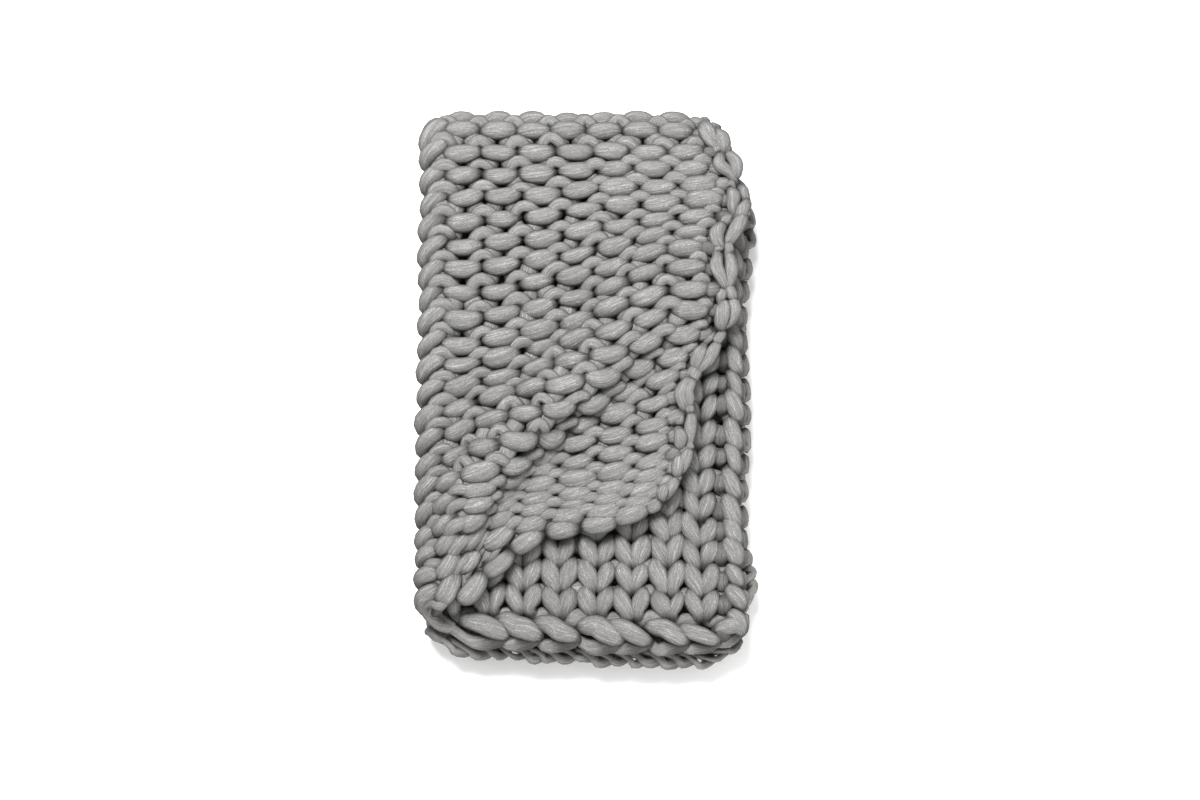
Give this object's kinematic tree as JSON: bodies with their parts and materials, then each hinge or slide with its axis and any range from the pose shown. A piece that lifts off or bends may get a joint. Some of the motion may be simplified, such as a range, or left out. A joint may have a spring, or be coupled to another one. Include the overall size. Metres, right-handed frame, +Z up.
{
  "type": "folded chunky knit wool blanket",
  "caption": "Grey chunky-knit wool throw folded in four, its top layer drawn up into a soft diagonal ridge that bares the plain side of the layer below.",
  "frame": {"origin": "centre of the bounding box, on the surface the blanket lies on", "axes": "+Z up; +Y to the far fold, away from the open near edge; +X to the open selvedge side"},
  "size_m": [0.4704, 0.7892, 0.1666],
  "materials": {
    "grey_wool": "soft matt felted wool roving"
  },
  "bodies": {
    "root": {"blanket": "grey_wool"}
  },
  "joints": []
}
